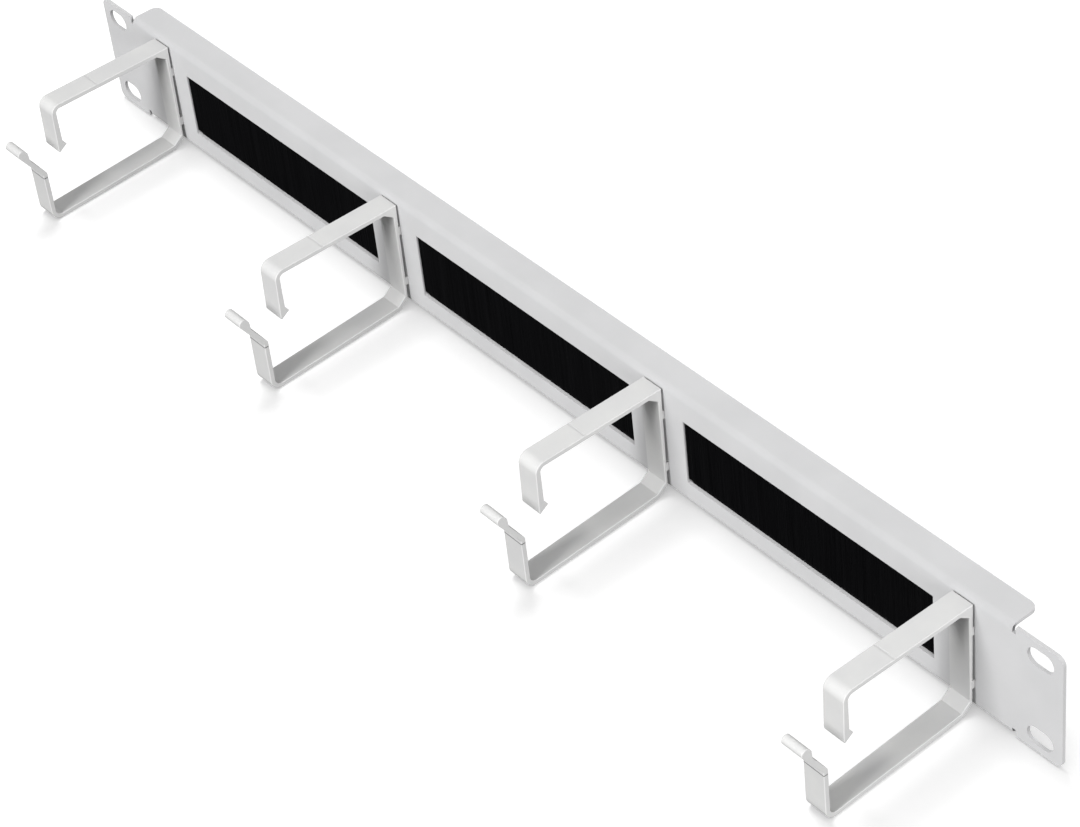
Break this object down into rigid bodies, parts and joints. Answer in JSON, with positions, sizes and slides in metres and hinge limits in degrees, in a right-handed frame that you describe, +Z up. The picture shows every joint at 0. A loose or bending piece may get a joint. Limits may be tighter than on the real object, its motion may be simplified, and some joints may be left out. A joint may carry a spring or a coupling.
{
  "type": "rack cable management panel",
  "caption": "Flat rack panel, one unit high, with open cable rings on its face, brush-filled windows between the rings and slotted ears.",
  "frame": {"origin": "middle of the four rack slots, on the rear face of the ears, which lies on the rack's rails", "axes": "+X along the panel to the right as seen from the front, +Y backwards into the rack, +Z up"},
  "size_m": [0.4826, 0.0788, 0.0474],
  "materials": {
    "panel_paint": "light grey powder coat, fine satin texture",
    "ring_plastic": "light grey moulded plastic, satin",
    "holder_metal": "plain drawn aluminium",
    "bristle_nylon": "dense straight black filaments",
    "fastener_zinc": "bright zinc plate"
  },
  "bodies": {
    "root": {"panel": "panel_paint", "cable_ring_1": "ring_plastic", "cable_ring_2": "ring_plastic", "cable_ring_3": "ring_plastic", "cable_ring_4": "ring_plastic", "brush_holder_1": "holder_metal", "bristles_1": "bristle_nylon", "weld_stud_1_left": "fastener_zinc", "washer_1_left": "fastener_zinc", "nut_1_left": "fastener_zinc", "weld_stud_1_right": "fastener_zinc", "washer_1_right": "fastener_zinc", "nut_1_right": "fastener_zinc", "brush_holder_2": "holder_metal", "bristles_2": "bristle_nylon", "weld_stud_2_left": "fastener_zinc", "washer_2_left": "fastener_zinc", "nut_2_left": "fastener_zinc", "weld_stud_2_right": "fastener_zinc", "washer_2_right": "fastener_zinc", "nut_2_right": "fastener_zinc", "brush_holder_3": "holder_metal", "bristles_3": "bristle_nylon", "weld_stud_3_left": "fastener_zinc", "washer_3_left": "fastener_zinc", "nut_3_left": "fastener_zinc", "weld_stud_3_right": "fastener_zinc", "washer_3_right": "fastener_zinc", "nut_3_right": "fastener_zinc"}
  },
  "joints": []
}
